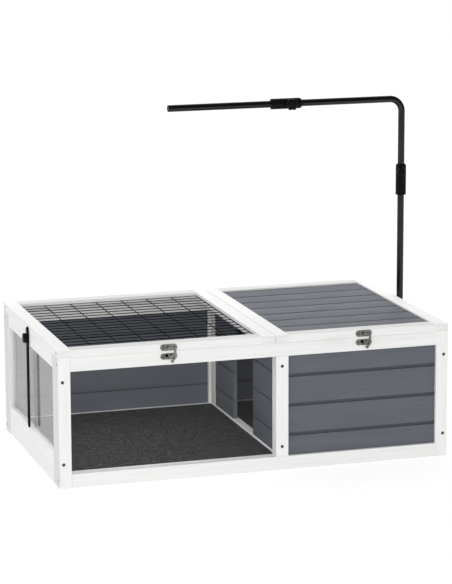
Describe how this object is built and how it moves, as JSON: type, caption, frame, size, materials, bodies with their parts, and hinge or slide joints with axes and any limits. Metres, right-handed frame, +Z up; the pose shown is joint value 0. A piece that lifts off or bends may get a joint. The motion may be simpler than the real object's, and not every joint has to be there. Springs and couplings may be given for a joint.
{
  "type": "tortoise table",
  "caption": "Low two-room wooden pet house with a clear front and side, hinged mesh and boarded lids on slotted stays, hook latches and a telescopic swivel arm for a lamp.",
  "frame": {"origin": "on the ground under the middle of the box", "axes": "+X to the right seen from the front, +Y to the back, +Z up"},
  "size_m": [0.9606, 0.5677, 0.8039],
  "materials": {
    "white_wood": "satin paint",
    "grey_boards": "satin paint",
    "clear_pane": "gloss",
    "floor_wood": "matte",
    "floor_liner": "matte",
    "zinc_steel": "satin",
    "black_steel": "satin",
    "black_plastic": "satin"
  },
  "bodies": {
    "base": {"front_corner_posts": "white_wood", "front_centre_post": "white_wood", "front_top_rail": "white_wood", "front_bottom_rail": "white_wood", "back_posts": "white_wood", "back_top_rail": "white_wood", "back_bottom_rail": "white_wood", "side_stiles": "white_wood", "left_side_top_rail": "white_wood", "left_side_bottom_rail": "white_wood", "right_side_top_rail": "white_wood", "right_side_bottom_rail": "white_wood", "divider_top_rail": "white_wood", "divider_sill": "white_wood", "divider_rear_stile": "white_wood", "front_boards": "grey_boards", "back_boards": "grey_boards", "right_side_boards": "grey_boards", "divider_boards": "grey_boards", "front_window": "clear_pane", "left_window": "clear_pane", "floor_panels": "floor_wood", "floor_battens": "floor_wood", "floor_liners": "floor_liner", "hinge_body_leaves": "zinc_steel", "hinge_pins": "zinc_steel", "latch_keepers": "zinc_steel", "body_screws": "zinc_steel", "stay_studs": "zinc_steel", "lower_tube": "black_steel", "pole_clips": "black_steel", "height_collar": "black_plastic"},
    "mesh_lid": {"mesh_lid_side_rails": "white_wood", "mesh_lid_cross_rails": "white_wood", "wire_mesh": "black_steel", "mesh_lid_hinge_leaves": "zinc_steel", "mesh_latch_plate": "zinc_steel", "mesh_stay_pivot": "zinc_steel", "mesh_lid_screws": "zinc_steel"},
    "roof_lid": {"roof_lid_side_rails": "white_wood", "roof_lid_cross_rails": "white_wood", "roof_boards": "grey_boards", "roof_lid_hinge_leaves": "zinc_steel", "roof_latch_plate": "zinc_steel", "roof_stay_pivot": "zinc_steel", "roof_lid_screws": "zinc_steel"},
    "mesh_latch_hook": {"mesh_latch_hook": "zinc_steel"},
    "roof_latch_hook": {"roof_latch_hook": "zinc_steel"},
    "mesh_stay_arm": {"mesh_stay_arm": "black_steel"},
    "roof_stay_arm": {"roof_stay_arm": "black_steel"},
    "mesh_stay_knob": {"mesh_stay_knob": "black_plastic"},
    "roof_stay_knob": {"roof_stay_knob": "black_plastic"},
    "mast_slider": {"mast_inner_tube": "black_steel"},
    "mast": {"mast_tube": "black_steel", "arm_inner_tube": "black_steel"},
    "arm": {"arm_tube": "black_steel", "arm_collar": "black_plastic", "arm_end_cap": "black_plastic"},
    "height_knob": {"height_knob": "black_plastic"},
    "arm_knob": {"arm_knob": "black_plastic"}
  },
  "joints": [
    {"name": "mesh_lid_hinge", "type": "hinge", "parent": "base", "child": "mesh_lid", "pos_m": [-0.2086, 0.2812, 0.291], "axis": [-1, 0, 0], "range_deg": [0, 42]},
    {"name": "mesh_stay_swing", "type": "hinge", "parent": "mesh_lid", "child": "mesh_stay_arm", "pos_m": [-0.4623, 0.011, 0.3], "axis": [-1, 0, 0], "range_deg": [-21, 0]},
    {"name": "mesh_latch_swing", "type": "hinge", "parent": "mesh_lid", "child": "mesh_latch_hook", "pos_m": [-0.207, -0.281, 0.303], "axis": [0, 1, 0], "range_deg": [-100, 12]},
    {"name": "mesh_stay_knob_turn", "type": "hinge", "parent": "base", "child": "mesh_stay_knob", "pos_m": [-0.4623, 0.011, 0.282], "axis": [-1, 0, 0], "range_deg": [0, 360]},
    {"name": "roof_lid_hinge", "type": "hinge", "parent": "base", "child": "roof_lid", "pos_m": [0.2521, 0.2812, 0.291], "axis": [-1, 0, 0], "range_deg": [0, 42]},
    {"name": "roof_stay_swing", "type": "hinge", "parent": "roof_lid", "child": "roof_stay_arm", "pos_m": [0.4623, 0.011, 0.3], "axis": [-1, 0, 0], "range_deg": [-21, 0]},
    {"name": "roof_latch_swing", "type": "hinge", "parent": "roof_lid", "child": "roof_latch_hook", "pos_m": [0.2537, -0.281, 0.303], "axis": [0, 1, 0], "range_deg": [-100, 12]},
    {"name": "roof_stay_knob_turn", "type": "hinge", "parent": "base", "child": "roof_stay_knob", "pos_m": [0.4623, 0.011, 0.282], "axis": [1, 0, 0], "range_deg": [0, 360]},
    {"name": "mast_height", "type": "slide", "parent": "base", "child": "mast_slider", "axis": [0, 0, 1], "range_m": [0, 0.2]},
    {"name": "mast_swivel", "type": "hinge", "parent": "mast_slider", "child": "mast", "pos_m": [0.474, 0.0676, 0.64], "axis": [0, 0, 1], "range_deg": [-90, 90]},
    {"name": "arm_reach", "type": "slide", "parent": "mast", "child": "arm", "axis": [-1, 0, 0], "range_m": [0, 0.15]},
    {"name": "height_knob_turn", "type": "hinge", "parent": "base", "child": "height_knob", "pos_m": [0.474, 0.0676, 0.616], "axis": [-0.2924, -0.9563, 0], "range_deg": [0, 360]},
    {"name": "arm_knob_turn", "type": "hinge", "parent": "arm", "child": "arm_knob", "pos_m": [0.191, 0.0676, 0.79], "axis": [0, -1, 0], "range_deg": [0, 360]}
  ],
  "couplings": [
    {"joint": "mesh_stay_swing", "follows": "mesh_lid_hinge", "ratio": -0.5},
    {"joint": "roof_stay_swing", "follows": "roof_lid_hinge", "ratio": -0.5}
  ]
}
